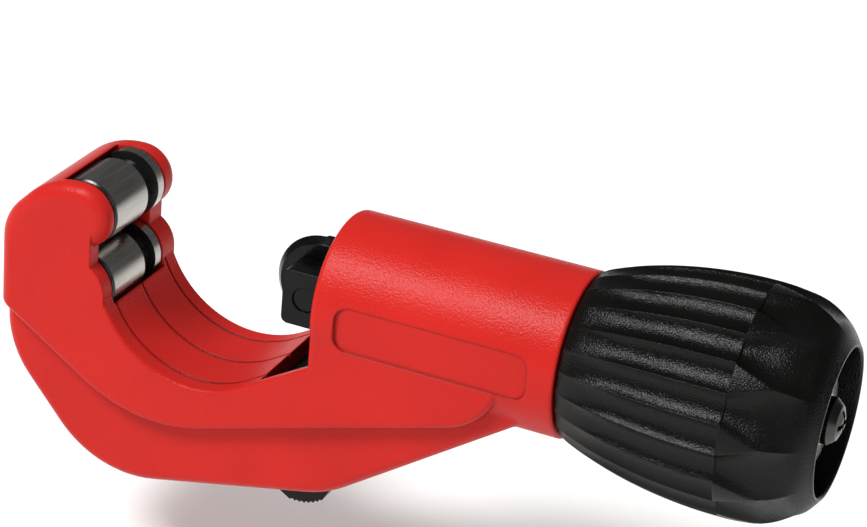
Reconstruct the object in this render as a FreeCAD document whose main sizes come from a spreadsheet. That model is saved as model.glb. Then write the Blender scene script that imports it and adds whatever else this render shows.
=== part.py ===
"""Telescopic pipe cutter, as a parametric FreeCAD document.

X runs along the feed spindle towards the knob, Y along the tube that is cut and Z up, out
of the open throat. The origin is where the axis of a seated 28 mm tube crosses the feed
spindle's axis, in the plane that the cutting wheel cuts. Lengths are in millimetres.
"""
import FreeCAD, Part
import math
import os
import Sketcher

DIMENSIONS = {
    # cast frame: the fork that holds the rollers, the throat and the web below it
    "mid_plane": -1.2, "frame_width": 25.6, "web_width": 20.6, "cheek": 3.0,
    "far_cheek": 4.5, "back_x": -34.0, "throat_x": 4.3, "throat_z": -0.7,
    "throat_radius": 18.6, "floor_end_x": 13.4, "floor_end_z": -16.9, "rim_z": -9.3,
    "tip_radius": 5.85, "crown_x": -25.1, "crown_radius": 14.0, "shoulder_z": 3.5,
    "shoulder_radius": 9.5, "heel_z": -23.0, "heel_radius": 18.0, "toe_x": -15.1,
    "toe_z": -44.5, "toe_radius": 20.0, "keel_x": 30.1, "keel_z": -34.4,
    "keel_radius": 20.0, "ramp_end_x": 66.4, "ramp_end_z": -8.9, "flank_back_z": -13.0,
    "flank_heel_x": -6.0, "flank_heel_z": -31.0, "flank_heel_radius": 28.0,
    "flank_end_x": 61.3, "flank_end_z": -10.5, "flank_end_radius": 13.0,
    "flank_round": 1.2, "floor_start_z": -7.66, "edge_round": 2.4, "web_round": 2.0,
    "mouth_round": 1.0, "end_round": 0.6, "rim_round": 0.5, "ramp_blend": 2.5,
    "recess_front": 17.2, "recess_z": -17.5, "recess_wall": 1.6, "line_groove": 0.6,
    "rim_line_inset": 3.6,
    # barrel of the frame and the neck that the knob turns on
    "barrel_radius": 14.45, "barrel_drop": 0.35, "barrel_front": 26.2, "barrel_end": 70.2,
    "bore_radius": 11.0, "neck_radius": 12.9, "neck_end": 97.0, "key_width": 4.0,
    "key_height": 1.8, "key_front": 42.0, "key_back": 60.0, "ring_x": 80.0,
    "ring_wire": 0.55, "panel_left": 30.7, "panel_right": 65.6, "panel_top": 3.9,
    "panel_low": -4.3, "panel_round": 2.6, "panel_depth": 0.35,
    # rollers and their pins
    "roller_x": -18.8, "roller_z": 6.8, "roller_radius": 6.0, "roller_near": -10.5,
    "roller_far": 6.6, "roller_bevel": 0.3, "groove_near": 0.5, "groove_far": 4.3,
    "groove_radius": 4.5, "roller_gap": 0.7, "roller_pin_radius": 2.0, "pin_fit": 0.02,
    "running_fit": 0.05,
    # slide, cutting wheel and its pin
    "wheel_x": 22.3, "wheel_radius": 8.8, "wheel_half": 1.9, "wheel_flat_radius": 7.7,
    "wheel_rim_step": 0.5, "slide_front": 18.15, "slide_half_width": 8.0,
    "slide_half_height": 5.05, "slide_corner": 1.2, "piston_front": 34.0,
    "piston_end": 82.0, "wheel_slot_half": 2.1, "wheel_slot_end": 32.6,
    "slide_bore_front": 36.5, "slide_bore_radius": 7.6, "key_play": 0.15,
    "wheel_pin_radius": 2.25, "clip_seat_radius": 4.2, "clip_seat_depth": 2.0,
    "clip_thickness": 0.6,
    # feed spindle and what holds it
    "thread_radius": 5.0, "spindle_tip": 47.0, "nut_front": 72.0, "nut_radius": 8.0,
    "collar_front": 91.0, "collar_back": 93.0, "collar_radius": 8.5, "journal_radius": 4.0,
    "washer_thickness": 0.5, "square_start": 97.3, "square_end": 106.0, "square_side": 6.4,
    # knob with the spare wheel in its open end
    "knob_front": 70.6, "knob_web_front": 97.6, "knob_web_back": 101.0, "boss_radius": 5.6,
    "boss_end": 108.2, "knob_mouth_radius": 12.3, "knob_end": 114.2, "knob_play": 0.25,
    "scallop_radius": 12.0, "scallop_count": 12, "scallop_turn": 100.0, "screw_radius": 2.0,
    "screw_tip": 95.0, "screw_head_radius": 4.0, "screw_head_height": 2.9,
    "screw_cross_long": 2.3, "screw_cross_half": 0.45, "screw_cross_depth": 1.7,
    # fold-out deburrer under the throat
    "deburrer_x": 18.0, "deburrer_z": -32.3, "deburrer_tilt": 12.5, "holder_half": 2.2,
    "arm_length": 17.0, "arm_top": 4.0, "arm_low": 3.6, "lobe_radius": 8.0, "lobe_x": 2.9,
    "lobe_z": -2.4, "lobe_reach": 11.5, "hub_radius": 5.6, "blade_half": 1.0,
    "blade_tip": 29.0, "rivet_radius": 1.0, "pivot_radius": 1.5, "pivot_head_radius": 3.0,
    "pivot_head_height": 1.6, "pivot_blind": 3.6, "pivot_slot_long": 2.4,
    "pivot_slot_half": 0.4, "pivot_slot_depth": 0.7, "thumb_teeth": 7, "tooth_radius": 0.4,
    "blade_root": 8.2, "blade_low": 3.2, "blade_high": 3.0, "blade_tip_low": 2.4,
    "blade_seat_end": 8.0, "rivet_inset": 2.5, "rivet_high": 1.4, "rivet_low": 1.6,
    "slot_play": 0.3,
}


class Size:
    """A length that carries both its number and the expression that binds it."""

    def __init__(self, value, text):
        self.value = value
        self.text = text

    @staticmethod
    def of(item):
        return item if isinstance(item, Size) else Size(float(item), repr(float(item)))

    def __add__(self, other):
        other = Size.of(other)
        return Size(self.value + other.value, "(%s + %s)" % (self.text, other.text))

    def __sub__(self, other):
        other = Size.of(other)
        return Size(self.value - other.value, "(%s - %s)" % (self.text, other.text))

    def __rsub__(self, other):
        return Size.of(other) - self

    def __mul__(self, factor):
        return Size(self.value * factor, "(%s * %r)" % (self.text, float(factor)))

    def __neg__(self):
        return Size(-self.value, "(0 - %s)" % self.text)

    __radd__ = __add__
    __rmul__ = __mul__


def dim(name):
    return Size(DIMENSIONS[name], "dims." + name)


def on_circle(centre_x, centre_y, radius, degrees):
    """The point at an angle on a circle, as two bound lengths."""
    turn = math.radians(degrees)
    return centre_x + radius * math.cos(turn), centre_y + radius * math.sin(turn)


def bind(thing, prop, size):
    thing.setExpression(prop, Size.of(size).text)


def make_document():
    doc = FreeCAD.newDocument("pipe_cutter")
    sheet = doc.addObject("Spreadsheet::Sheet", "dims")
    for row, (name, value) in enumerate(DIMENSIONS.items(), start=1):
        sheet.set("A%d" % row, name)
        sheet.set("B%d" % row, repr(value))
        sheet.setAlias("B%d" % row, name)
    doc.recompute()
    return doc


DOC = make_document()
SUB_PARTS = []
# The way each origin plane's normal points along its global axis.
PLANE_SIGN = {"XY_Plane": 1.0, "XZ_Plane": -1.0, "YZ_Plane": 1.0}


def new_body(label):
    body = DOC.addObject("PartDesign::Body", label + "_body")
    body.Label = label
    SUB_PARTS.append(body)
    return body


def place(body, x=0.0, y=0.0, z=0.0):
    for axis, size in (("x", x), ("y", y), ("z", z)):
        bind(body, "Placement.Base." + axis, size)


def new_sketch(body, name, role, at=0.0):
    """A sketch on one of the body's origin planes, moved along the global axis to `at`."""
    sketch = body.newObject("Sketcher::SketchObject", name)
    plane = [item for item in body.Origin.OriginFeatures if item.Role == role][0]
    sketch.AttachmentSupport = (plane, [""])
    sketch.MapMode = "FlatFace"
    bind(sketch, "AttachmentOffset.Base.z", Size.of(at) * PLANE_SIGN[role])
    return sketch


def constrain(sketch, kind, *items):
    """Adds one driving constraint whose last item is a bound length."""
    size = Size.of(items[-1])
    index = sketch.addConstraint(Sketcher.Constraint(kind, *items[:-1], size.value))
    bind(sketch, "Constraints[%d]" % index, size)


def arc_between(start, end, radius, turn):
    """The minor arc from start to end, as a counter-clockwise arc of a circle."""
    chord = end - start
    across = FreeCAD.Vector(-chord.y, chord.x, 0).normalize() * turn
    centre = (start + end) * 0.5 + across * math.sqrt(radius ** 2 - (chord.Length / 2) ** 2)
    first, last = (start, end) if turn > 0 else (end, start)
    angles = [math.atan2(point.y - centre.y, point.x - centre.x) for point in (first, last)]
    return Part.ArcOfCircle(Part.Circle(centre, FreeCAD.Vector(0, 0, 1), radius), *angles)


def outline(body, name, role, at, corners):
    """A closed outline. A corner is (x, y), or (x, y, radius, turn) where an arc leaves it,
    with turn +1 for counter-clockwise and -1 for clockwise."""
    sketch = new_sketch(body, name, role, at)
    corners = [tuple(Size.of(item) for item in corner[:3]) + tuple(corner[3:])
               for corner in corners]
    points = [FreeCAD.Vector(corner[0].value, corner[1].value, 0) for corner in corners]
    ends = []
    for index, corner in enumerate(corners):
        start, end = points[index], points[(index + 1) % len(points)]
        if len(corner) == 4:
            piece = arc_between(start, end, corner[2].value, corner[3])
            ends.append((1, 2) if corner[3] > 0 else (2, 1))
        else:
            piece = Part.LineSegment(start, end)
            ends.append((1, 2))
        sketch.addGeometry(piece, False)
    for index, corner in enumerate(corners):
        after = (index + 1) % len(corners)
        joint = Sketcher.Constraint("Coincident", index, ends[index][1], after, ends[after][0])
        sketch.addConstraint(joint)
        constrain(sketch, "DistanceX", index, ends[index][0], corner[0])
        constrain(sketch, "DistanceY", index, ends[index][0], corner[1])
        if len(corner) == 4:
            constrain(sketch, "Radius", index, corner[2])
    return sketch


def circles(body, name, role, at, *rounds):
    """One or more circles, each (x, y, radius)."""
    sketch = new_sketch(body, name, role, at)
    for index, (x, y, radius) in enumerate(rounds):
        x, y, radius = Size.of(x), Size.of(y), Size.of(radius)
        centre = FreeCAD.Vector(x.value, y.value, 0)
        sketch.addGeometry(Part.Circle(centre, FreeCAD.Vector(0, 0, 1), radius.value), False)
        constrain(sketch, "DistanceX", index, 3, x)
        constrain(sketch, "DistanceY", index, 3, y)
        constrain(sketch, "Radius", index, radius)
    return sketch


def box_outline(body, name, role, at, left, right, low, high):
    corners = [(left, low), (right, low), (right, high), (left, high)]
    return outline(body, name, role, at, corners)


def feature(body, kind, sketch, length=None, flip=False, grows=True):
    """Adds a pad, pocket or other profile feature and checks that it changed the solid."""
    before = body.Shape.Volume if body.Tip else 0.0
    made = body.newObject("PartDesign::" + kind, sketch.Name + "_" + kind.lower())
    made.Profile = sketch
    if length is not None:
        bind(made, "Length", length)
    made.Reversed = flip
    sketch.Visibility = False
    DOC.recompute()
    if (body.Shape.Volume > before) != grows:
        raise RuntimeError(made.Name + " did not change the solid as meant")
    return made


def pad(body, sketch, length, flip=False):
    return feature(body, "Pad", sketch, length, flip)


def pocket(body, sketch, length):
    """Cuts towards lower X, Y or Z from the sketch's plane."""
    normal_is_back = sketch.AttachmentSupport[0][0].Role == "XZ_Plane"
    return feature(body, "Pocket", sketch, length, normal_is_back, grows=False)


def turned(label, corners, along="x"):
    """A turned piece. Corners are (distance along the axis, radius) around its section."""
    body = new_body(label)
    if along == "x":
        sketch = outline(body, label + "_section", "XY_Plane", 0.0, corners)
        axis = "H_Axis"
    else:
        flipped = [(corner[1], corner[0]) for corner in corners]
        sketch = outline(body, label + "_section", "XY_Plane", 0.0, flipped)
        axis = "V_Axis"
    turn = body.newObject("PartDesign::Revolution", label + "_turn")
    turn.Profile = sketch
    turn.ReferenceAxis = (sketch, [axis])
    turn.Angle = 360.0
    sketch.Visibility = False
    DOC.recompute()
    return body


def round_edges(body, radius, chosen):
    """Rounds the edges of the body's tip that `chosen` accepts."""
    base = body.Tip
    names = ["Edge%d" % number for number, edge in enumerate(base.Shape.Edges, start=1)
             if chosen(edge)]
    fillet = body.newObject("PartDesign::Fillet", base.Name + "_round")
    fillet.Base = (base, names)
    bind(fillet, "Radius", radius)
    DOC.recompute()
    return fillet


def middle(edge):
    return edge.valueAt((edge.FirstParameter + edge.LastParameter) / 2)


def lies_at(edge, axis, value):
    return all(abs(getattr(vertex.Point, axis) - value) < 1e-4 for vertex in edge.Vertexes)


# ---------------------------------------------------------------- frame

def throat_corners():
    """The rim beside the barrel's mouth, the sloping lip and the round floor of the throat."""
    return [(dim("barrel_front"), 0.0), (dim("barrel_front"), dim("rim_z")),
            (dim("floor_end_x"), dim("floor_end_z"), dim("throat_radius"), -1),
            (dim("roller_x") + dim("tip_radius"), dim("floor_start_z"))]


def flank_outline(body, at):
    """The wide part of the frame: fork, throat rim and the flanks beside the barrel."""
    front = dim("roller_x") + dim("tip_radius")
    top = dim("roller_z") + dim("tip_radius")
    corners = throat_corners() + [
        (front, top),
        (dim("crown_x"), top),
        (dim("back_x"), dim("shoulder_z")),
        (dim("back_x"), dim("flank_back_z")),
        (dim("flank_heel_x"), dim("flank_heel_z")),
        (dim("flank_end_x"), dim("flank_end_z")),
        (dim("flank_end_x"), 0.0),
    ]
    return outline(body, "flank", "XZ_Plane", at, corners)


def web_outline(body, at):
    """The narrower web that closes the C below the throat and runs up to the barrel."""
    corners = throat_corners() + [
        (dim("back_x"), dim("floor_start_z")),
        (dim("back_x"), dim("heel_z")),
        (dim("toe_x"), dim("toe_z")),
        (dim("keel_x"), dim("keel_z")),
        (dim("ramp_end_x"), dim("ramp_end_z")),
        (dim("ramp_end_x"), 0.0),
    ]
    return outline(body, "web", "XZ_Plane", at, corners)


def round_corners(body, corners):
    """Rounds upright corners of the outline. Each is (x, z, radius)."""
    for x, z, radius in corners:
        x, z = Size.of(x), Size.of(z)
        round_edges(body, radius, lambda edge: lies_at(edge, "x", x.value)
                    and lies_at(edge, "z", z.value))


def cut_barrel(body, near, far):
    """Bore, neck for the knob, ring groove, wheel recess and the key that guides the slide."""
    reach = dim("neck_end") - dim("barrel_front")
    bore = circles(body, "bore", "YZ_Plane", dim("neck_end"), (0.0, 0.0, dim("bore_radius")))
    pocket(body, bore, reach)
    recess = box_outline(body, "recess", "YZ_Plane", dim("barrel_front"),
                         near + dim("recess_wall"), far - dim("recess_wall"),
                         dim("recess_z"), 0.0)
    pocket(body, recess, dim("barrel_front") - dim("recess_front"))
    half = dim("key_width") * 0.5
    key = box_outline(body, "key", "YZ_Plane", dim("key_front"), -half, half,
                      -dim("bore_radius") - 1.0, -dim("bore_radius") + dim("key_height"))
    pad(body, key, dim("key_back") - dim("key_front"))
    groove = circles(body, "ring_groove", "YZ_Plane", dim("ring_x") + dim("ring_wire") * 1.8,
                     (0.0, 0.0, dim("neck_radius") + 0.5),
                     (0.0, 0.0, dim("neck_radius") - 1.0))
    pocket(body, groove, dim("ring_wire") * 3.6)


def soften_edges(body, near, far):
    """Small rounds on the barrel's ends and the throat's rims, and the blend under the barrel."""
    def on_barrel(edge):
        point = middle(edge)
        reach = math.hypot(point.y, point.z + DIMENSIONS["barrel_drop"])
        return abs(reach - DIMENSIONS["barrel_radius"]) < 0.05

    def barrel_mouth(edge):
        on_near_face = lies_at(edge, "y", near.value)
        at_mouth = lies_at(edge, "x", DIMENSIONS["barrel_front"])
        return at_mouth and (on_barrel(edge) or on_near_face)

    def barrel_end(edge):
        return lies_at(edge, "x", DIMENSIONS["barrel_end"]) and on_barrel(edge)

    def bore_mouth(edge):
        point = middle(edge)
        on_bore = abs(math.hypot(point.y, point.z) - DIMENSIONS["bore_radius"]) < 0.05
        return lies_at(edge, "x", DIMENSIONS["barrel_front"]) and on_bore

    def throat_rim(edge):
        point = middle(edge)
        at_face = lies_at(edge, "y", near.value) or lies_at(edge, "y", far.value)
        in_throat = -10.0 < point.x < DIMENSIONS["barrel_front"] and -19.5 < point.z < -8.0
        return at_face and in_throat and edge.Length > 10.0

    def ramp_end(edge):
        return edge.Curve.TypeId == "Part::GeomEllipse" and edge.Length > 15.0

    round_edges(body, dim("mouth_round"), barrel_mouth)
    round_edges(body, dim("end_round"), barrel_end)
    round_edges(body, dim("rim_round"), lambda edge: bore_mouth(edge) or throat_rim(edge))
    round_edges(body, dim("ramp_blend"), ramp_end)


def cut_notch(body, far):
    """The notch between the fork's two round tips, which lets small tube reach the rollers."""
    x, z, radius = dim("roller_x"), dim("roller_z"), dim("tip_radius")
    tip, reach, rise = x + radius, x + radius * 0.5, radius * 0.86603
    notch = outline(body, "notch", "XZ_Plane", far, [
        (reach, rise - z), (reach, z - rise, radius, 1), (tip, z), (tip + 1.0, z),
        (tip + 1.0, -z), (tip, -z, radius, 1)])
    pocket(body, notch, dim("frame_width"))


def cut_fork(body, near, far):
    """The pocket that the two rollers turn in and the holes for their pins."""
    inner_far = far - dim("far_cheek")
    width = dim("frame_width") - dim("cheek") - dim("far_cheek")
    clear = dim("roller_radius") + dim("roller_gap")
    x, z = dim("roller_x"), dim("roller_z")
    for name, side in (("upper", 1.0), ("lower", -1.0)):
        pocket(body, circles(body, name + "_roller_pocket", "XZ_Plane", inner_far,
                             (x, z * side, clear)), width)
    between = box_outline(body, "fork_gap", "XZ_Plane", inner_far, x - clear,
                          dim("throat_x") - dim("tip_radius"), -z, z)
    pocket(body, between, width)
    above = box_outline(body, "fork_top", "XZ_Plane", inner_far, x,
                        dim("throat_x") - dim("tip_radius"), z, z + clear)
    pocket(body, above, width)
    hole = dim("roller_pin_radius") + dim("pin_fit")
    holes = circles(body, "roller_pin_holes", "XZ_Plane", far, (x, z, hole), (x, -z, hole))
    pocket(body, holes, dim("frame_width") - 1.0)


def cut_floor_lines(body, near, far):
    """Three thin grooves along the throat's floor and lip: by each rim and in the middle."""
    depth, half = dim("line_groove"), dim("line_groove") * 0.5
    front, end_x, end_z = dim("roller_x") + dim("tip_radius"), dim("floor_end_x"), dim("floor_end_z")
    mouth, rim = dim("barrel_front"), dim("rim_z")
    above = dim("throat_radius") - 2.0
    outer = dim("throat_radius") + depth
    for name, at in (("far_line", far - dim("rim_line_inset")), ("middle_line", dim("mid_plane")),
                     ("near_line", near + dim("rim_line_inset"))):
        corners = [(front, dim("floor_start_z") + 1.0), (end_x, end_z + 2.0), (mouth, rim + 2.0),
                   (mouth, rim - depth), (end_x, end_z - depth, outer, -1),
                   (front, dim("floor_start_z") - depth)]
        sketch = outline(body, name, "XZ_Plane", at + half, corners)
        pocket(body, sketch, depth)


def cut_deburrer_slot(body, far):
    """The slot that the deburrer folds into, and the hole of its pivot screw."""
    x, z = dim("deburrer_x"), dim("deburrer_z")
    top = dim("mid_plane") + dim("holder_half") + dim("slot_play")
    width = (dim("holder_half") + dim("slot_play")) * 2
    swing = circles(body, "deburrer_swing", "XZ_Plane", top, (x, z, dim("lobe_reach") + 0.7))
    pocket(body, swing, width)
    reach = x - dim("blade_tip") - 2.0
    corners = [(reach, z - 14.0), (x, z - 14.0), (x, z + 6.0), (reach, z - 1.5)]
    pocket(body, outline(body, "blade_slot", "XZ_Plane", top, corners), width)
    web_far = dim("mid_plane") + dim("web_width") * 0.5
    pivot = circles(body, "pivot_hole", "XZ_Plane", web_far,
                    (x, z, dim("pivot_radius") + dim("pin_fit")))
    pocket(body, pivot, dim("web_width") - 3.0)
    head = circles(body, "pivot_head_seat", "XZ_Plane", far,
                   (x, z, dim("pivot_head_radius") + 0.2))
    depth = far - web_far + dim("pivot_head_height")
    pocket(body, head, depth)


def cut_panel(body, near):
    """The shallow rounded panel on the barrel's near side, left blank."""
    left, right = dim("panel_left"), dim("panel_right")
    low, high, bend = dim("panel_low"), dim("panel_top"), dim("panel_round")
    corners = [(left + bend, low), (right - bend, low, bend, 1),
               (right, low + bend), (right, high - bend, bend, 1),
               (right - bend, high), (left + bend, high, bend, 1),
               (left, high - bend), (left, low + bend, bend, 1)]
    sketch = outline(body, "panel", "XZ_Plane", near + dim("panel_depth"), corners)
    pocket(body, sketch, 3.0)


def make_web_blank():
    """The web on its own, with its lower edges rounded, ready to be joined to the flanks."""
    blank = DOC.addObject("PartDesign::Body", "web_blank")
    near = dim("mid_plane") - dim("web_width") * 0.5
    far = dim("mid_plane") + dim("web_width") * 0.5
    pad(blank, web_outline(blank, far), dim("web_width"))
    round_corners(blank, [
        (dim("back_x"), dim("heel_z"), dim("heel_radius")),
        (dim("toe_x"), dim("toe_z"), dim("toe_radius")),
        (dim("keel_x"), dim("keel_z"), dim("keel_radius"))])

    def keel_edge(edge):
        at_face = lies_at(edge, "y", near.value) or lies_at(edge, "y", far.value)
        point = middle(edge)
        return at_face and point.z < DIMENSIONS["keel_z"] - 1.0

    round_edges(blank, dim("web_round"), keel_edge)
    return blank


def make_frame():
    body = new_body("frame")
    near = dim("mid_plane") - dim("frame_width") * 0.5
    far = dim("mid_plane") + dim("frame_width") * 0.5
    front = dim("roller_x") + dim("tip_radius")
    top = dim("roller_z") + dim("tip_radius")
    pad(body, flank_outline(body, far), dim("frame_width"))
    round_corners(body, [
        (front, top, dim("tip_radius")),
        (dim("crown_x"), top, dim("crown_radius")),
        (dim("back_x"), dim("shoulder_z"), dim("shoulder_radius")),
        (dim("flank_heel_x"), dim("flank_heel_z"), dim("flank_heel_radius")),
        (dim("flank_end_x"), dim("flank_end_z"), dim("flank_end_radius"))])

    cut_notch(body, far)

    def back_edge(edge):
        at_face = lies_at(edge, "y", near.value) or lies_at(edge, "y", far.value)
        return at_face and lies_at(edge, "x", DIMENSIONS["back_x"])

    def flank_edge(edge):
        at_face = lies_at(edge, "y", near.value) or lies_at(edge, "y", far.value)
        point = middle(edge)
        return at_face and edge.Length > 40.0 and point.x > 0.0

    round_edges(body, dim("edge_round"), back_edge)
    round_edges(body, dim("flank_round"), flank_edge)
    joined = body.newObject("PartDesign::Boolean", "web_joined")
    joined.setObjects([make_web_blank()])
    joined.Type = "Fuse"
    DOC.recompute()
    barrel = circles(body, "barrel", "YZ_Plane", dim("barrel_front"),
                     (0.0, -dim("barrel_drop"), dim("barrel_radius")))
    pad(body, barrel, dim("barrel_end") - dim("barrel_front"))
    neck = circles(body, "neck", "YZ_Plane", dim("barrel_end"), (0.0, 0.0, dim("neck_radius")))
    pad(body, neck, dim("neck_end") - dim("barrel_end"))
    cut_barrel(body, near, far)
    soften_edges(body, near, far)
    cut_fork(body, near, far)
    cut_floor_lines(body, near, far)
    cut_deburrer_slot(body, far)
    cut_panel(body, near)
    return body


# ---------------------------------------------------------------- rollers

def make_rollers():
    ends = (dim("roller_near"), dim("roller_far"))
    bore = dim("roller_pin_radius") + dim("running_fit")
    outer, bevel = dim("roller_radius"), dim("roller_bevel")
    section = [(ends[0], bore), (ends[0], outer - bevel), (ends[0] + bevel, outer),
               (dim("groove_near"), outer), (dim("groove_near") + bevel, dim("groove_radius")),
               (dim("groove_far") - bevel, dim("groove_radius")), (dim("groove_far"), outer),
               (ends[1] - bevel, outer), (ends[1], outer - bevel), (ends[1], bore)]
    near = dim("mid_plane") - dim("frame_width") * 0.5 + 1.1
    far = dim("mid_plane") + dim("frame_width") * 0.5 - 0.1
    pin = [(near, 0.0), (near, dim("roller_pin_radius")),
           (far, dim("roller_pin_radius")), (far, 0.0)]
    for name, side in (("upper", 1.0), ("lower", -1.0)):
        for label, corners in (("_roller", section), ("_roller_pin", pin)):
            body = turned(name + label, corners, along="y")
            place(body, x=dim("roller_x"), z=dim("roller_z") * side)


# ---------------------------------------------------------------- slide and wheel

def make_slide():
    body = new_body("slide")
    half, height = dim("slide_half_width"), dim("slide_half_height")
    bend = dim("slide_corner")
    front, back = dim("slide_front"), dim("piston_front") + 1.0
    cheeks = outline(body, "cheeks", "XZ_Plane", half, [
        (front + bend, -height), (back, -height), (back, height),
        (front + bend, height, bend, 1), (front, height - bend),
        (front, bend - height, bend, 1)])
    pad(body, cheeks, half * 2)
    piston = circles(body, "piston", "YZ_Plane", dim("piston_front"),
                     (0.0, 0.0, dim("bore_radius") - dim("running_fit")))
    pad(body, piston, dim("piston_end") - dim("piston_front"))
    slot_half = dim("wheel_slot_half")
    slot = box_outline(body, "wheel_slot", "XY_Plane", dim("bore_radius") + 1.0, front - 1.0,
                       dim("wheel_slot_end"), -slot_half, slot_half)
    pocket(body, slot, (dim("bore_radius") + 1.0) * 2)
    bore = circles(body, "spindle_bore", "YZ_Plane", dim("nut_front"),
                   (0.0, 0.0, dim("slide_bore_radius")))
    pocket(body, bore, dim("nut_front") - dim("slide_bore_front"))
    seat = circles(body, "nut_seat", "YZ_Plane", dim("piston_end"),
                   (0.0, 0.0, dim("nut_radius") + dim("pin_fit")))
    pocket(body, seat, dim("piston_end") - dim("nut_front"))
    play = dim("key_play")
    half_key = dim("key_width") * 0.5 + play
    keyway = box_outline(body, "keyway", "YZ_Plane", dim("piston_end"), -half_key, half_key,
                         -dim("bore_radius") - 1.0,
                         -dim("bore_radius") + dim("key_height") + play)
    pocket(body, keyway, dim("piston_end") - dim("piston_front"))
    wheel_x = dim("wheel_x")
    hole = circles(body, "wheel_pin_hole", "XZ_Plane", half,
                   (wheel_x, 0.0, dim("wheel_pin_radius") + dim("pin_fit")))
    pocket(body, hole, half * 2)
    clip_seat = circles(body, "clip_seat", "XZ_Plane", half,
                        (wheel_x, 0.0, dim("clip_seat_radius")))
    pocket(body, clip_seat, dim("clip_seat_depth"))


def wheel_section(bore):
    half, flat, step = dim("wheel_half"), dim("wheel_flat_radius"), dim("wheel_rim_step")
    return [(-half, bore), (-half, flat - 3.4), (-half + step, flat - 3.2),
            (-half + step, flat), (0.0, dim("wheel_radius")), (half - step, flat),
            (half - step, flat - 3.2), (half, flat - 3.4), (half, bore)]


def make_wheel():
    wheel = turned("cutter_wheel", wheel_section(dim("wheel_pin_radius") + dim("running_fit")),
                   along="y")
    place(wheel, x=dim("wheel_x"))
    radius, groove = dim("wheel_pin_radius"), dim("wheel_pin_radius") - 0.4
    half = dim("slide_half_width")
    seat = half - dim("clip_seat_depth")
    clip_near, clip_far = seat + 0.1, seat + 0.2 + dim("clip_thickness")
    pin = turned("wheel_pin", [
        (0.3 - half, 0.0), (0.3 - half, radius), (clip_near, radius), (clip_near, groove),
        (clip_far, groove), (clip_far, radius), (half - 0.5, radius), (half - 0.5, 0.0)],
        along="y")
    place(pin, x=dim("wheel_x"))
    inner, outer = groove + 0.02, dim("clip_seat_radius") - 0.4
    first = clip_near + 0.05
    last = first + dim("clip_thickness") - 0.05
    clip = turned("wheel_pin_clip", [(first, inner), (first, outer), (last, outer),
                                     (last, inner)], along="y")
    mouth = box_outline(clip, "clip_mouth", "XZ_Plane", half, -dim("wheel_pin_radius") * 0.6,
                        dim("wheel_pin_radius") * 0.6, -dim("clip_seat_radius") - 1.0, 0.0)
    pocket(clip, mouth, half)
    place(clip, x=dim("wheel_x"))


# ---------------------------------------------------------------- feed

def make_feed():
    thread, collar = dim("thread_radius"), dim("collar_radius")
    journal, tip = dim("journal_radius"), dim("spindle_tip")
    spindle = turned("feed_spindle", [
        (tip, 0.0), (tip, thread - 1.0), (tip + 1.0, thread), (dim("collar_front"), thread),
        (dim("collar_front"), collar), (dim("collar_back"), collar),
        (dim("collar_back"), journal), (dim("square_start"), journal),
        (dim("square_start"), 0.0)])
    half = dim("square_side") * 0.5
    square = box_outline(spindle, "square_end", "YZ_Plane", dim("square_start"),
                         -half, half, -half, half)
    pad(spindle, square, dim("square_end") - dim("square_start"))
    tapped = circles(spindle, "tapped_hole", "YZ_Plane", dim("square_end"),
                     (0.0, 0.0, dim("screw_radius") + dim("pin_fit")))
    pocket(spindle, tapped, dim("square_end") - dim("screw_tip") + 0.5)
    turned("spindle_nut", [
        (dim("nut_front"), thread + dim("running_fit")), (dim("nut_front"), dim("nut_radius")),
        (dim("piston_end"), dim("nut_radius")),
        (dim("piston_end"), thread + dim("running_fit"))])
    gap = 0.05
    first = dim("collar_back") + gap
    second = first + dim("washer_thickness")
    bore = journal + dim("running_fit")
    turned("thrust_washer", [(first, bore), (first, collar), (second, collar), (second, bore)])
    start = second + gap
    rim = dim("bore_radius") - dim("pin_fit")
    turned("end_bush", [(start, bore), (start, rim), (dim("neck_end"), rim),
                        (dim("neck_end"), bore)])
    wire = dim("ring_wire")
    ring = DOC.addObject("Part::Torus", "friction_ring_shape")
    ring.Label = "friction_ring"
    bind(ring, "Radius1", dim("neck_radius") - 0.4)
    bind(ring, "Radius2", wire)
    ring.Placement.Rotation = FreeCAD.Rotation(FreeCAD.Vector(0, 1, 0), 90)
    bind(ring, "Placement.Base.x", dim("ring_x"))
    SUB_PARTS.append(ring)


# ---------------------------------------------------------------- knob

def knob_outside():
    """Points (distance along the spindle, radius) of the knob's barrel-shaped outside."""
    front, end = dim("knob_front"), dim("knob_end")
    return [(front, 14.3), (front + 1.0, 14.95), (front + 3.9, 16.15), (front + 8.7, 17.6),
            (front + 14.7, 18.85), (front + 20.7, 19.6), (front + 27.0, 19.9),
            (front + 32.4, 19.7), (front + 36.4, 19.05), (front + 39.6, 17.4),
            (front + 42.2, 15.2), (end, 13.2)]


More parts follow.
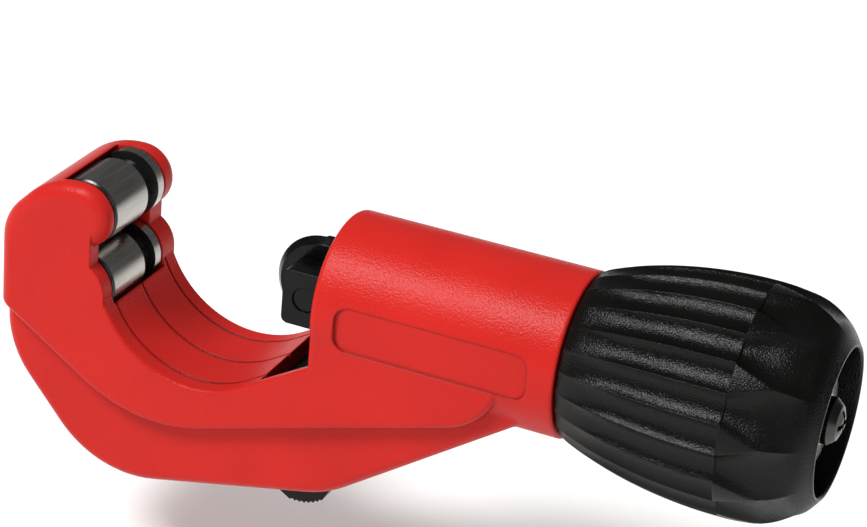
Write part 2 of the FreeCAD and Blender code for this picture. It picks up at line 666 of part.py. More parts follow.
def make_knob():
    bore = dim("neck_radius") + dim("knob_play")
    mouth = dim("knob_mouth_radius")
    inside = [(dim("knob_end"), mouth), (dim("knob_web_back"), mouth),
              (dim("knob_web_back"), dim("boss_radius")), (dim("boss_end"), dim("boss_radius")),
              (dim("boss_end"), dim("screw_radius") + 0.3),
              (dim("knob_web_front"), dim("screw_radius") + 0.3),
              (dim("knob_web_front"), bore), (dim("knob_front"), bore)]
    body = turned("knob", knob_outside() + inside)
    half = dim("square_side") * 0.5 + dim("running_fit")
    square = box_outline(body, "square_socket", "YZ_Plane", dim("knob_web_front"),
                         -half, half, -half, half)
    depth = dim("square_end") - dim("knob_web_front") + 0.2
    feature(body, "Pocket", square, depth, flip=True, grows=False)
    ball = body.newObject("PartDesign::SubtractiveSphere", "scallop")
    bind(ball, "Radius", dim("scallop_radius"))
    plane = [item for item in body.Origin.OriginFeatures if item.Role == "XY_Plane"][0]
    ball.AttachmentSupport = (plane, [""])
    ball.MapMode = "FlatFace"
    reach = dim("knob_mouth_radius") + 4.0 + dim("scallop_radius")
    y, z = on_circle(Size.of(0.0), Size.of(0.0), reach, DIMENSIONS["scallop_turn"])
    for axis, size in (("x", dim("boss_end")), ("y", y), ("z", z)):
        bind(ball, "AttachmentOffset.Base." + axis, size)
    DOC.recompute()
    pattern = body.newObject("PartDesign::PolarPattern", "scallops")
    pattern.Originals = [ball]
    axis = [item for item in body.Origin.OriginFeatures if item.Role == "X_Axis"][0]
    pattern.Axis = (axis, [""])
    pattern.Angle = 360.0
    pattern.Occurrences = int(DIMENSIONS["scallop_count"])
    body.Tip = pattern
    DOC.recompute()


def make_knob_screw():
    """Spare wheel, clamped in the knob's open end by the pan-head screw that holds the knob."""
    gap = 0.05
    wheel_x = dim("boss_end") + gap + dim("wheel_half")
    spare = turned("spare_wheel", wheel_section(dim("wheel_pin_radius") + dim("running_fit")))
    place(spare, x=wheel_x)
    seat = wheel_x + dim("wheel_half") + gap
    radius, head = dim("screw_radius"), dim("screw_head_radius")
    top = seat + dim("screw_head_height")
    screw = turned("knob_screw", [
        (dim("screw_tip"), 0.0), (dim("screw_tip"), radius - 0.4),
        (dim("screw_tip") + 0.4, radius), (seat, radius), (seat, head), (seat + 1.1, head),
        (top - 0.6, head - 1.1), (top, head - 2.6), (top, 0.0)])
    long, short = dim("screw_cross_long"), dim("screw_cross_half")
    for name, across, upright in (("cross_a", long, short), ("cross_b", short, long)):
        cut = box_outline(screw, name, "YZ_Plane", top, -across, across, -upright, upright)
        pocket(screw, cut, dim("screw_cross_depth"))


# ---------------------------------------------------------------- deburrer

def make_deburrer():
    """Holder, blade and rivets are drawn along the arm, then tilted about the pivot."""
    tilt = FreeCAD.Rotation(FreeCAD.Vector(0, 1, 0), -DIMENSIONS["deburrer_tilt"])
    middle_y, half = dim("mid_plane"), dim("holder_half")
    hub, arm, low = dim("hub_radius"), dim("arm_length"), dim("arm_low")
    lobe = (dim("lobe_x"), dim("lobe_z"), dim("lobe_radius"))
    holder = new_body("deburrer_holder")
    corners = [(-arm, -low), (dim("lobe_x") - hub * 1.6, -low - 0.6),
               on_circle(*lobe, -112) + (lobe[2], 1), on_circle(*lobe, -64),
               (dim("lobe_x") + hub, -low * 2), (hub, 0.0, hub, 1),
               (0.0, hub), (-arm, dim("arm_top"))]
    plate = outline(holder, "holder_plate", "XZ_Plane", middle_y + half, corners)
    pad(holder, plate, half * 2)
    count = int(DIMENSIONS["thumb_teeth"])
    angles = [-108 + 40 * step / (count - 1) for step in range(count)]
    teeth = [on_circle(lobe[0], lobe[1], lobe[2] + 0.1, angle) + (dim("tooth_radius"),)
             for angle in angles]
    pocket(holder, circles(holder, "thumb_teeth", "XZ_Plane", middle_y + half, *teeth), half * 2)
    blade_half = dim("blade_half") + 0.02
    seat = box_outline(holder, "blade_seat", "XZ_Plane", middle_y + blade_half,
                       -arm - 1.0, -dim("blade_seat_end"), -hub, hub)
    pocket(holder, seat, blade_half * 2)
    hole = circles(holder, "holder_pivot_hole", "XZ_Plane", middle_y + half,
                   (0.0, 0.0, dim("pivot_radius") + dim("running_fit")))
    pocket(holder, hole, half * 2)
    rivet_radius = dim("rivet_radius")
    inset = dim("rivet_inset") - arm
    spots = [(inset, dim("rivet_high")), (inset, -dim("rivet_low"))]
    rivet_holes = [(x, z, rivet_radius + dim("pin_fit")) for x, z in spots]
    pocket(holder, circles(holder, "holder_rivet_holes", "XZ_Plane", middle_y + half,
                           *rivet_holes), half * 2)

    blade = new_body("deburrer_blade")
    root, tip, under = -dim("blade_root"), -dim("blade_tip"), -dim("blade_low")
    shape = outline(blade, "blade_plate", "XZ_Plane", middle_y + dim("blade_half"), [
        (root, under), (root, dim("blade_high")), (-arm, dim("blade_high")),
        (tip, -dim("blade_tip_low")), (tip + 0.8, under)])
    pad(blade, shape, dim("blade_half") * 2)
    pocket(blade, circles(blade, "blade_rivet_holes", "XZ_Plane",
                          middle_y + dim("blade_half"), *rivet_holes), dim("blade_half") * 2)

    rivets = new_body("deburrer_rivets")
    discs = circles(rivets, "rivet_shanks", "XZ_Plane", middle_y + half,
                    *[(x, z, rivet_radius) for x, z in spots])
    shanks = rivets.newObject("PartDesign::Pad", "rivet_shanks_pad")
    shanks.Profile = discs
    bind(shanks, "Length", half * 2)
    rivets.AllowCompound = True
    DOC.recompute()
    for body in (holder, blade, rivets):
        place(body, x=dim("deburrer_x"), z=dim("deburrer_z"))
        body.Placement.Rotation = tilt

    web_far = dim("mid_plane") + dim("web_width") * 0.5
    head_far = web_far - 0.1
    head_near = head_far - dim("pivot_head_height") + 0.2
    tip = dim("mid_plane") - dim("web_width") * 0.5 + dim("pivot_blind")
    pivot = turned("deburrer_pivot", [
        (tip, 0.0), (tip, dim("pivot_radius")), (head_near, dim("pivot_radius")),
        (head_near, dim("pivot_head_radius")), (head_far, dim("pivot_head_radius") - 0.3),
        (head_far, 0.0)], along="y")
    long, short = dim("pivot_slot_long"), dim("pivot_slot_half")
    drive = box_outline(pivot, "pivot_drive", "XZ_Plane", head_far, -long, long, -short, short)
    pocket(pivot, drive, dim("pivot_slot_depth"))
    place(pivot, x=dim("deburrer_x"), z=dim("deburrer_z"))


def check(thing):
    if "Invalid" in thing.State or "Error" in thing.State:
        raise RuntimeError("%s is in state %s" % (thing.Name, thing.State))


def write_parts():
    DOC.recompute()
    for thing in DOC.Objects:
        check(thing)
    os.makedirs("parts", exist_ok=True)
    for part in SUB_PARTS:
        if part.Shape.isNull() or not part.Shape.isValid():
            raise RuntimeError(part.Label + " has no valid shape")
        part.Shape.exportStep(os.path.join("parts", part.Label + ".step"))
        print("%-18s %7.0f mm3, %d solid(s)" % (part.Label, part.Shape.Volume,
                                               len(part.Shape.Solids)))


make_frame()
make_rollers()
make_slide()
make_wheel()
make_feed()
make_knob()
make_knob_screw()
make_deburrer()
write_parts()
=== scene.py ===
import math

import bpy
import numpy as np
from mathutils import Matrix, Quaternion, Vector


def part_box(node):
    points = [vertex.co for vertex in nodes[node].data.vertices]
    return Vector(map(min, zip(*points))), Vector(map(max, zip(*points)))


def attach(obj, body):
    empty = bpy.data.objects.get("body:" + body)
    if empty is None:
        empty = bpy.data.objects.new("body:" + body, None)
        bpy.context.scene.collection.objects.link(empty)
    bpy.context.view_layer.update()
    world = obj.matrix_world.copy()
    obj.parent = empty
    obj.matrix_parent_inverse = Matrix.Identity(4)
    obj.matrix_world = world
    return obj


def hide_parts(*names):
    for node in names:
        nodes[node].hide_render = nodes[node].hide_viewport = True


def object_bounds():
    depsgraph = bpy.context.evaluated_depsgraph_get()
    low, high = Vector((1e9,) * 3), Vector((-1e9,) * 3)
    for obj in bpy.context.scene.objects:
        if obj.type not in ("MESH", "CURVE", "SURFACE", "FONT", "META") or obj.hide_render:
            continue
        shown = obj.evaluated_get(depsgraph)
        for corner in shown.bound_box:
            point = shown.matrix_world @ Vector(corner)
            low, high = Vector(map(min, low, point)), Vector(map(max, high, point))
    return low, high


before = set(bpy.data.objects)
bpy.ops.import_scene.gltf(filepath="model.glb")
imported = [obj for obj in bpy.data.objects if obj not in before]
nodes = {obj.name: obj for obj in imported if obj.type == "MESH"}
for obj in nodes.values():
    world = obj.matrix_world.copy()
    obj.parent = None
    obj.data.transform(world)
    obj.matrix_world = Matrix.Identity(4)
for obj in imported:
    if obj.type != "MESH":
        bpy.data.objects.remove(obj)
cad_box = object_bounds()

MM = 0.001

# ---------------------------------------------------------------- knob: dimensions

# Lengths and radii in mm. "Along" is the distance behind the knob's front end, which is the
# end by the barrel.
FLUTES = 24
SAMPLES_PER_FLUTE = 18
FLUTE_DEPTH = 1.15
FLUTE_FRONT_SHARE = 0.2     # the part of that depth which the flutes have at the front end
FLUTE_RUN_IN = 13.0         # where they reach their whole depth
SCALLOPS = 12
SCALLOP_START_SHARE = 0.5   # the part of their whole width that the scallops have at the step
STEP_AT = 29.0              # the line where the flutes stop and the scallops start
FACET_LENGTH = 7.0          # from that line to the tips of the raised facets
ARC_CENTRE = 0.5            # height of a hollow's centre of curvature over its edges, in
                            # halves of the hollow's width
FIRST_CREST = math.radians(107.5)
FIRST_SCALLOP = math.radians(130.0)
# (along, radius) over the crests of the outside
KNOB_PROFILE = [(0.0, 14.2), (1.0, 14.85), (3.9, 16.05), (8.7, 17.5), (14.7, 18.75),
                (20.7, 19.5), (27.0, 19.8), (32.4, 19.6), (36.4, 18.95), (39.6, 17.3),
                (42.2, 15.05), (43.6, 13.1)]
# (distance behind the step, depth) of the scallops' floors
SCALLOP_FLOOR = [(0.0, 1.55), (3.5, 1.75), (7.5, 1.55), (10.5, 0.9), (12.3, 0.15),
                 (14.6, 0.0)]
# Rings of points: close together at the rounded front end, beside the step and over the
# scallops, wider apart over the flutes
FRONT_END, FLUTES_FROM = 4.4, 5.2
STEP_SIDE, STEP_EDGE = 0.4, 0.12
FRONT_RINGS, FLUTE_RINGS, SCALLOP_RINGS = 10, 28, 46
# Inside: a web crosses the knob, with the barrel's neck in front of it and the open mouth
# behind it. Web places are along X in the tool's frame.
WEB_FRONT, WEB_BACK = 97.6, 101.0
BORE, MOUTH, BOSS, SCREW_HOLE = 13.15, 12.3, 5.6, 2.3       # radii
RIM, RIM_MIDDLE = 12.75, 12.5               # radii of the mouth's rounded rim
RIM_EASE, RIM_DEPTH = 0.1, 1.0              # how much wider than the mouth it ends, how deep
MOUTH_CORNER, BOSS_CORNER = (0.6, 0.5), (0.4, 0.5)      # at the web, along X and across it
EDGE = 0.3                                  # the boss's chamfer, and the rim's first turn
SEAT_PLAY = 0.05                            # between the boss and the spare wheel
SQUARE_HALF, SQUARE_DEPTH = 3.25, 8.6       # socket for the spindle's square end
SHARP_FROM = 28.0           # degrees between faces from which an edge stays sharp


# ---------------------------------------------------------------- knob: mesh

def rings_to_mesh(name, rings):
    """A closed surface round the X axis. rings is a list of (count, 3) arrays of points in
    metres, each one turn about the axis; neighbours are joined by quads, the last to the
    first."""
    count = len(rings[0])
    total = len(rings)
    faces = []
    for row in range(total):
        start, after = row * count, ((row + 1) % total) * count
        for col in range(count):
            beside = (col + 1) % count
            faces.append((start + col, start + beside, after + beside, after + col))
    mesh = bpy.data.meshes.new(name)
    mesh.from_pydata(np.concatenate(rings).tolist(), [], faces)
    mesh.validate()
    mesh.update()
    mesh.polygons.foreach_set("use_smooth", [True] * len(mesh.polygons))
    mesh.set_sharp_from_angle(angle=math.radians(SHARP_FROM))
    made = bpy.data.objects.new(name, mesh)
    bpy.context.scene.collection.objects.link(made)
    return made


def smoothstep(low, high, value):
    share = np.clip((value - low) / (high - low), 0.0, 1.0)
    return share * share * (3.0 - 2.0 * share)


def curve_through(points, at):
    """A smooth curve through (position, value) points, made of cubic pieces that share their
    slopes. Beyond its ends it keeps the end values."""
    places, values = np.array(points).T
    slopes = np.gradient(values, places)
    index = int(np.clip(np.searchsorted(places, at) - 1, 0, len(places) - 2))
    gap = places[index + 1] - places[index]
    share = min(max((at - places[index]) / gap, 0.0), 1.0)
    rest = 1.0 - share
    return ((1.0 + 2.0 * share) * rest ** 2 * values[index]
            + share * rest ** 2 * gap * slopes[index]
            + share ** 2 * (3.0 - 2.0 * share) * values[index + 1]
            - share ** 2 * rest * gap * slopes[index + 1])


def wrapped(angle, pitch, first):
    """Angle from the nearest of the marks that repeat every pitch from first."""
    return (angle - first + pitch / 2) % pitch - pitch / 2


def hollow(across):
    """Depth of a round hollow of half width 1. across is 0 in its middle and 1 at its edges,
    and beyond them the depth stays 0."""
    across = np.clip(np.abs(across), 0.0, 1.0)
    return np.sqrt(1.0 + ARC_CENTRE ** 2 - across ** 2) - ARC_CENTRE


def knob_outside(along, theta):
    """Radius round the knob at the angles theta: the profile less the flutes or scallops."""
    radius = curve_through(KNOB_PROFILE, along) * np.ones_like(theta)
    if along <= STEP_AT:
        half = math.pi / FLUTES
        across = wrapped(theta, 2 * half, FIRST_CREST + half) / half
        run_in = smoothstep(0.0, FLUTE_RUN_IN, along)
        depth = FLUTE_DEPTH * (FLUTE_FRONT_SHARE + (1.0 - FLUTE_FRONT_SHARE) * run_in)
    else:
        half = math.pi / SCALLOPS
        widening = min((along - STEP_AT) / FACET_LENGTH, 1.0)
        width = SCALLOP_START_SHARE + (1.0 - SCALLOP_START_SHARE) * widening
        across = wrapped(theta, 2 * half, FIRST_SCALLOP) / (half * width)
        depth = curve_through(SCALLOP_FLOOR, along - STEP_AT)
    return radius - depth * hollow(across) / hollow(0.0)


def outside_places(length):
    """Where the rings of the outside lie along the knob."""
    return np.concatenate([
        np.linspace(0.0, FRONT_END, FRONT_RINGS),
        np.linspace(FLUTES_FROM, STEP_AT - STEP_SIDE, FLUTE_RINGS),
        [STEP_AT - STEP_EDGE, STEP_AT, STEP_AT + STEP_EDGE],
        np.linspace(STEP_AT + STEP_SIDE, length, SCALLOP_RINGS)])


def knob_inside(front, end, theta):
    """(x, radius) of the inside, from the open end over the boss to the front end."""
    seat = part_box("spare_wheel")[0].x / MM - SEAT_PLAY
    socket_end = WEB_FRONT + SQUARE_DEPTH
    square = SQUARE_HALF / np.maximum(np.abs(np.cos(theta)), np.abs(np.sin(theta)))
    rim = [(end, RIM), (end - EDGE, RIM_MIDDLE), (end - RIM_DEPTH, MOUTH + RIM_EASE)]
    mouth = [(WEB_BACK + MOUTH_CORNER[0], MOUTH), (WEB_BACK, MOUTH - MOUTH_CORNER[1])]
    boss = [(WEB_BACK, BOSS + BOSS_CORNER[1]), (WEB_BACK + BOSS_CORNER[0], BOSS),
            (seat - EDGE, BOSS), (seat, BOSS - EDGE)]
    hole = [(seat, SCREW_HOLE), (socket_end, SCREW_HOLE)]
    socket = [(socket_end, square), (WEB_FRONT, square)]
    bore = [(WEB_FRONT, BORE), (front, BORE)]
    return rim + mouth + boss + hole + socket + bore


def make_knob():
    """The fluted and scalloped knob, which stands for the plain one of the CAD model."""
    low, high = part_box("knob")
    front, end = low.x / MM, high.x / MM
    theta = np.linspace(0.0, 2 * math.pi, FLUTES * SAMPLES_PER_FLUTE, endpoint=False)
    outside = [(front + along, knob_outside(along, theta))
               for along in outside_places(end - front)]
    rings = []
    for x, radius in outside + knob_inside(front, end, theta):
        radius = radius * np.ones_like(theta)
        rings.append(np.stack([np.full_like(theta, x), radius * np.cos(theta),
                               radius * np.sin(theta)], axis=1) * MM)
    knob = rings_to_mesh("knob_shell", rings)
    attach(knob, "knob_body")
    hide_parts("knob")
    return knob


# ---------------------------------------------------------------- material helpers

NOISE_LOW, NOISE_HIGH = 0.3, 0.7            # most of a noise's values lie between these
MIX_FACTOR, MIX_FIRST, MIX_SECOND = 0, 6, 7     # a mix node's inputs for colours
MIX_RESULT = 2                              # and its output
SOFT_SAMPLES = 6                            # rays for soft edges and crevices


def material(name):
    """A new material with its nodes, its shader and its coordinates."""
    made = bpy.data.materials.new(name)
    made.use_nodes = True
    tree = made.node_tree
    return made, tree, tree.nodes["Principled BSDF"], tree.nodes.new("ShaderNodeTexCoord")


def link(tree, out_node, out_name, in_node, in_name):
    tree.links.new(out_node.outputs[out_name], in_node.inputs[in_name])


def feed(tree, value, socket):
    """Join an input to another node's output, or set it to a plain value."""
    if isinstance(value, bpy.types.NodeSocket):
        tree.links.new(value, socket)
    else:
        socket.default_value = value


def split_place(tree, coords):
    """The X, Y and Z of a point of the object."""
    place = tree.nodes.new("ShaderNodeSeparateXYZ")
    link(tree, coords, "Object", place, "Vector")
    return [place.outputs[axis] for axis in "XYZ"]


def noise(tree, coords, per_metre, detail=3.0, rough=0.5, stretch=None):
    node = tree.nodes.new("ShaderNodeTexNoise")
    node.inputs["Scale"].default_value = per_metre
    node.inputs["Detail"].default_value = detail
    node.inputs["Roughness"].default_value = rough
    if stretch:
        mapping = tree.nodes.new("ShaderNodeMapping")
        mapping.inputs["Scale"].default_value = stretch
        link(tree, coords, "Object", mapping, "Vector")
        link(tree, mapping, "Vector", node, "Vector")
    else:
        link(tree, coords, "Object", node, "Vector")
    return node


def bump(tree, height_node, shader, distance, strength, soft_edge=0.0):
    """Relief from a height; soft_edge is a radius in metres over which edges are eased."""
    node = tree.nodes.new("ShaderNodeBump")
    node.inputs["Distance"].default_value = distance
    node.inputs["Strength"].default_value = strength
    link(tree, height_node, "Fac", node, "Height")
    if soft_edge:
        bevel = tree.nodes.new("ShaderNodeBevel")
        bevel.samples = SOFT_SAMPLES
        bevel.inputs["Radius"].default_value = soft_edge
        link(tree, bevel, "Normal", node, "Normal")
    link(tree, node, "Normal", shader, "Normal")


def shaded(tree, source, shades, low=NOISE_LOW, high=NOISE_HIGH):
    """A colour that goes from the first shade to the second as a noise goes from low to
    high."""
    node = tree.nodes.new("ShaderNodeValToRGB")
    for element, position, shade in zip(node.color_ramp.elements, (low, high), shades):
        element.position = position
        element.color = (*shade, 1.0)
    link(tree, source, "Fac", node, "Fac")
    return node.outputs["Color"]


def mixed(tree, share, first, second):
    """The first colour where share is 0, the second where it is 1."""
    node = tree.nodes.new("ShaderNodeMix")
    node.data_type = "RGBA"
    feed(tree, share, node.inputs[MIX_FACTOR])
    feed(tree, first, node.inputs[MIX_FIRST])
    feed(tree, second, node.inputs[MIX_SECOND])
    return node.outputs[MIX_RESULT]


def set_rough(tree, shader, source, low, high):
    """Roughness that wanders between two values with a noise."""
    spread = tree.nodes.new("ShaderNodeMapRange")
    spread.inputs["From Min"].default_value = NOISE_LOW
    spread.inputs["From Max"].default_value = NOISE_HIGH
    spread.inputs["To Min"].default_value = low
    spread.inputs["To Max"].default_value = high
    link(tree, source, "Fac", spread, "Value")
    link(tree, spread, "Result", shader, "Roughness")


def give(thing, made):
    """Puts a material in every material slot of an object."""
    if thing.data.materials:
        for index in range(len(thing.data.materials)):
            thing.data.materials[index] = made
    else:
        thing.data.materials.append(made)


# ---------------------------------------------------------------- materials

# Where shade is painted on the casting, in metres: in the bore of the barrel, and in the
# recess under the slide, below the line of the sloping lip
BORE_RADIUS = 0.0111
BARREL_MOUTH = 0.0263
MID_PLANE = -0.0012
RECESS_FRONT, RECESS_HALF_WIDTH, RECESS_FLOOR = 0.0174, 0.01125, -0.0176
LIP_SLOPE, LIP_HEIGHT, LIP_SKIN = 0.594, -0.02486, 0.0004
# near black colour of the painted shade in the bore and the recess
PAINTED_SHADE_NEAR_BLACK = (0.008, 0.007, 0.006, 1.0)
MARK_SHADE = 0.8            # of a metal's tint, in the tool marks

# Places along Y, in metres: the stretch the rollers fill, the end of the painted shade ring
# at their near end, and the groove that takes a tube's flare, which gets painted shade and a
# painted dark reflection
ROLLER_BAND = (-0.012, 0.008)
ROLLER_RING = -0.0101
ROLLER_GROOVE = (0.0005, 0.0043)
# near black colour of the painted shade in the groove and on the near ring
ROLLER_PAINTED_SHADE = (0.006, 0.006, 0.006, 1.0)


def painted_shade_mask(tree, coords):
    """1 in the bore and the recess, where shade is painted near black, else 0."""
    along, across, height = split_place(tree, coords)

    def maths(operation, *values):
        node = tree.nodes.new("ShaderNodeMath")
        node.operation = operation
        for socket, value in zip(node.inputs, values):
            feed(tree, value, socket)
        return node.outputs["Value"]

    def all_of(first, *others):
        for other in others:
            first = maths("MULTIPLY", first, other)
        return first

    from_axis = maths("SQRT", maths("ADD", maths("MULTIPLY", across, across),
                                    maths("MULTIPLY", height, height)))
    in_bore = all_of(maths("LESS_THAN", from_axis, BORE_RADIUS),
                     maths("GREATER_THAN", along, BARREL_MOUTH))
    lip = maths("SUBTRACT", maths("MULTIPLY_ADD", along, LIP_SLOPE, LIP_HEIGHT), LIP_SKIN)
    off_middle = maths("ABSOLUTE", maths("SUBTRACT", across, MID_PLANE))
    in_recess = all_of(maths("LESS_THAN", off_middle, RECESS_HALF_WIDTH),
                       maths("GREATER_THAN", along, RECESS_FRONT),
                       maths("LESS_THAN", along, BARREL_MOUTH),
                       maths("LESS_THAN", height, lip),
                       maths("GREATER_THAN", height, RECESS_FLOOR))
    return maths("MAXIMUM", in_bore, in_recess)


def red_paint():
    """Powder coat on the casting: a fine orange peel, a little colour drift and painted shade
    in crevices. The bore and the recess under the slide get painted shade, near black."""
    made, tree, shader, coords = material("red_powder_coat")
    blotch = noise(tree, coords, per_metre=60.0)
    paint = shaded(tree, blotch, [(0.43, 0.013, 0.0098), (0.47, 0.0145, 0.011)],
                   low=0.35, high=0.65)
    # painted shade: ambient occlusion darkens the paint colour in crevices, grooves and along
    # edges
    crevice_shade = tree.nodes.new("ShaderNodeAmbientOcclusion")
    crevice_shade.samples = SOFT_SAMPLES
    crevice_shade.inputs["Distance"].default_value = 0.0007
    feed(tree, paint, crevice_shade.inputs["Color"])
    # painted shade: the bore and the recess under the slide turn near black
    colour = mixed(tree, painted_shade_mask(tree, coords), crevice_shade.outputs["Color"], PAINTED_SHADE_NEAR_BLACK)
    feed(tree, colour, shader.inputs["Base Color"])
    shader.inputs["Specular IOR Level"].default_value = 0.12
    set_rough(tree, shader, blotch, low=0.28, high=0.34)
    peel = noise(tree, coords, per_metre=2600.0, detail=2.0)
    bump(tree, peel, shader, distance=0.00016, strength=0.6, soft_edge=0.0006)
    return made


def black_plastic():
    """Satin moulded plastic with a fine spark-eroded grain."""
    made, tree, shader, coords = material("black_moulded_plastic")
    cloud = noise(tree, coords, per_metre=90.0)
    colour = shaded(tree, cloud, [(0.0020, 0.0018, 0.0016), (0.0030, 0.0027, 0.0024)],
                    low=0.35, high=0.65)
    feed(tree, colour, shader.inputs["Base Color"])
    shader.inputs["Specular IOR Level"].default_value = 0.17
    set_rough(tree, shader, cloud, low=0.25, high=0.31)
    grain = noise(tree, coords, per_metre=3900.0, detail=1.0)
    bump(tree, grain, shader, distance=0.0001, strength=0.9, soft_edge=0.0003)
    return made


def steel(name, tint, rough):
    """Bare steel or brass with tool marks darker than its tint. rough is the band that its
    roughness wanders in."""
    made, tree, shader, coords = material(name)
    shader.inputs["Metallic"].default_value = 1.0
    mark = noise(tree, coords, per_metre=900.0, detail=4.0, rough=0.6)
    colour = shaded(tree, mark, [tuple(part * MARK_SHADE for part in tint), tint])
    feed(tree, colour, shader.inputs["Base Color"])
    set_rough(tree, shader, mark, *rough)
    bump(tree, mark, shader, distance=0.00002, strength=0.4)
    return made


def roller_shade_bands(tree, coords):
    """1 where the rollers are ground bright, 0 where shade is painted: in the flare groove
    and on the near ring.
    """
    spread = tree.nodes.new("ShaderNodeMapRange")
    spread.inputs["From Min"].default_value = ROLLER_BAND[0]
    spread.inputs["From Max"].default_value = ROLLER_BAND[1]
    feed(tree, split_place(tree, coords)[1], spread.inputs["Value"])
    bands = tree.nodes.new("ShaderNodeValToRGB")
    bands.color_ramp.interpolation = "CONSTANT"
    stops = bands.color_ramp.elements
    width = ROLLER_BAND[1] - ROLLER_BAND[0]
    starts = [(ROLLER_BAND[0], 0.0), (ROLLER_RING, 1.0), (ROLLER_GROOVE[0], 0.0),
              (ROLLER_GROOVE[1], 1.0)]
    for index, (start, bright) in enumerate(starts):
        position = (start - ROLLER_BAND[0]) / width
        stop = stops[index] if index < len(stops) else stops.new(position)
        stop.position = position
        stop.color = (bright, bright, bright, 1.0)
    link(tree, spread, "Result", bands, "Fac")
    return bands.outputs["Color"]


def roller_finish():
    """Ground steel roller with painted shade and a painted dark reflection in its flare
    groove and painted shade on its near ring, near black and not metallic.
    """
    made, tree, shader, coords = material("roller_ground_steel")
    streak = noise(tree, coords, per_metre=900.0, detail=4.0, rough=0.6,
                   stretch=(1.0, 0.08, 1.0))
    ground = shaded(tree, streak, [(0.36, 0.34, 0.32), (0.52, 0.495, 0.46)])
    bands = roller_shade_bands(tree, coords)
    # painted shade: the groove and the near ring turn near black and not metallic
    feed(tree, mixed(tree, bands, ROLLER_PAINTED_SHADE, ground), shader.inputs["Base Color"])
    feed(tree, bands, shader.inputs["Metallic"])
    set_rough(tree, shader, streak, low=0.22, high=0.32)
    bump(tree, streak, shader, distance=0.00002, strength=0.4)
    return made


def black_oxide():
    """Blackened steel with a faint mottle."""
    made, tree, shader, coords = material("black_oxide_steel")
    mottle = noise(tree, coords, per_metre=500.0, detail=4.0)
    colour = shaded(tree, mottle, [(0.0018, 0.0018, 0.0018), (0.004, 0.004, 0.004)])
    feed(tree, colour, shader.inputs["Base Color"])
    shader.inputs["Specular IOR Level"].default_value = 0.15
    set_rough(tree, shader, mottle, low=0.15, high=0.23)
    bump(tree, mottle, shader, distance=0.00005, strength=0.4, soft_edge=0.0003)
    return made


def rubber():
    """Matt black rubber with a little dust."""
    made, tree, shader, coords = material("ring_rubber_matt")
    dust = noise(tree, coords, per_metre=400.0)
    colour = shaded(tree, dust, [(0.008, 0.008, 0.008), (0.016, 0.016, 0.016)])
    feed(tree, colour, shader.inputs["Base Color"])
    set_rough(tree, shader, dust, low=0.6, high=0.75)
    bump(tree, noise(tree, coords, per_metre=3000.0), shader, distance=0.00003, strength=0.5)
    return made


def dress():
    """Every piece gets its finish."""
    plastic = black_plastic()
    finishes = [
        (red_paint(), ["frame"]),
        (plastic, ["deburrer_holder"]),
        (black_oxide(), ["slide", "cutter_wheel", "wheel_pin", "wheel_pin_clip"]),
        (roller_finish(), ["upper_roller", "lower_roller"]),
        (steel("bright_steel", tint=(0.6, 0.6, 0.61), rough=(0.24, 0.34)),
         ["feed_spindle", "thrust_washer", "upper_roller_pin", "lower_roller_pin",
          "deburrer_blade", "deburrer_rivets", "deburrer_pivot"]),
        (steel("dark_screw_steel", tint=(0.07, 0.068, 0.066), rough=(0.22, 0.32)),
         ["knob_screw"]),
        (steel("spare_wheel_steel", tint=(0.3, 0.29, 0.28), rough=(0.22, 0.32)),
         ["spare_wheel"]),
        (steel("turned_brass", tint=(0.72, 0.52, 0.24), rough=(0.26, 0.36)),
         ["spindle_nut", "end_bush"]),
        (rubber(), ["friction_ring"])]
    for made, names in finishes:
        for name in names:
            give(nodes[name], made)
    give(make_knob(), plastic)


# ---------------------------------------------------------------- stage

FLOOR_HALF = 3.0            # half the floor's side, in metres
FLOOR_GAP = 0.001           # below the blade's lowest point, in metres
SKY_STRENGTH, SKY_IN_REFLECTIONS = 0.6, 0.12
# Lamps: (name, direction from the tool, distance, size in metres, watts)
LAMPS = [("key", (-0.33, -0.5, 0.8), 1.4, (0.5, 0.4), 21.0),
         ("fill", (0.6, -0.6, 0.35), 1.6, (1.0, 0.8), 1.6)]
LAMP_TARGET = (0.035, 0.0, 0.0)
# The camera stands right of the tool's front and above it, with a small roll. Degrees, mm
VIEW_AZIMUTH, VIEW_ELEVATION, VIEW_ROLL = 21.48, 25.57, 5.24
VIEW_AIM = (36.5, 13.9, 1.9)
LENS, SENSOR = 115.4, 36.0
VIEW_DISTANCE = 0.4832      # metres


def floor_level():
    """The floor lies just under the lowest point that the deburrer's blade swings through."""
    hinge = (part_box("deburrer_pivot")[0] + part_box("deburrer_pivot")[1]) / 2
    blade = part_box("deburrer_blade")
    reach = math.hypot(blade[0].x - hinge.x, blade[0].z - hinge.z)
    return min(cad_box[0].z, hinge.z - reach) - FLOOR_GAP


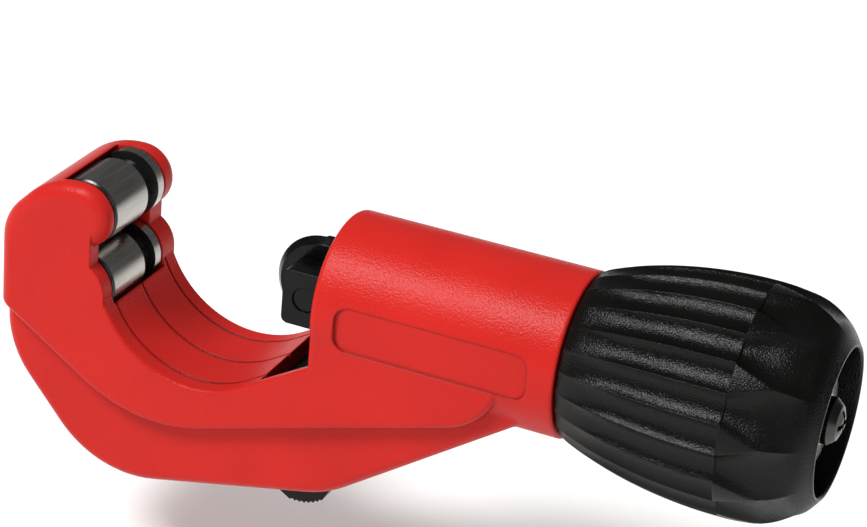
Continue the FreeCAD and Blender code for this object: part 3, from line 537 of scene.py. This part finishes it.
def make_floor():
    mesh = bpy.data.meshes.new("floor")
    level = floor_level()
    corners = [(x * FLOOR_HALF, y * FLOOR_HALF, level)
               for x, y in ((-1, -1), (1, -1), (1, 1), (-1, 1))]
    mesh.from_pydata(corners, [], [(0, 1, 2, 3)])
    floor = bpy.data.objects.new("floor", mesh)
    bpy.context.scene.collection.objects.link(floor)
    made, tree, shader, coords = material("floor_pale")
    tint = noise(tree, coords, per_metre=8.0)
    colour = shaded(tree, tint, [(0.9, 0.9, 0.89), (0.92, 0.92, 0.91)])
    feed(tree, colour, shader.inputs["Base Color"])
    shader.inputs["Specular IOR Level"].default_value = 0.1
    shader.inputs["Roughness"].default_value = 0.9
    give(floor, made)


def make_sky():
    """Even white light all round, weaker where the tool mirrors it."""
    world = bpy.data.worlds.new("studio")
    world.use_nodes = True
    tree = world.node_tree
    background = tree.nodes["Background"]
    background.inputs["Color"].default_value = (1.0, 1.0, 1.0, 1.0)
    rays = tree.nodes.new("ShaderNodeLightPath")
    strength = tree.nodes.new("ShaderNodeMapRange")
    strength.inputs["To Min"].default_value = SKY_STRENGTH
    strength.inputs["To Max"].default_value = SKY_IN_REFLECTIONS
    link(tree, rays, "Is Glossy Ray", strength, "Value")
    link(tree, strength, "Result", background, "Strength")
    bpy.context.scene.world = world


def make_lamps():
    """Soft rectangular lamps that face the tool."""
    for name, direction, distance, size, watts in LAMPS:
        data = bpy.data.lights.new(name, "AREA")
        data.shape = "RECTANGLE"
        data.size, data.size_y = size
        data.energy = watts
        lamp = bpy.data.objects.new(name, data)
        way = Vector(direction).normalized()
        lamp.location = Vector(LAMP_TARGET) + way * distance
        lamp.rotation_mode = "QUATERNION"
        lamp.rotation_quaternion = (-way).to_track_quat("-Z", "Y")
        bpy.context.scene.collection.objects.link(lamp)


def make_camera():
    azimuth, elevation = math.radians(VIEW_AZIMUTH), math.radians(VIEW_ELEVATION)
    back = Vector((math.sin(azimuth) * math.cos(elevation),
                   -math.cos(azimuth) * math.cos(elevation), math.sin(elevation)))
    data = bpy.data.cameras.new("camera")
    data.lens = LENS
    data.sensor_width = SENSOR
    camera = bpy.data.objects.new("camera", data)
    camera.rotation_mode = "QUATERNION"
    level = (-back).to_track_quat("-Z", "Y")
    roll = Quaternion((0.0, 0.0, 1.0), math.radians(VIEW_ROLL))
    camera.rotation_quaternion = level @ roll
    camera.location = Vector(VIEW_AIM) * MM + back * VIEW_DISTANCE
    bpy.context.scene.collection.objects.link(camera)
    bpy.context.scene.camera = camera


dress()
make_floor()
make_sky()
make_lamps()
make_camera()
bpy.context.scene.view_settings.view_transform = "Standard"
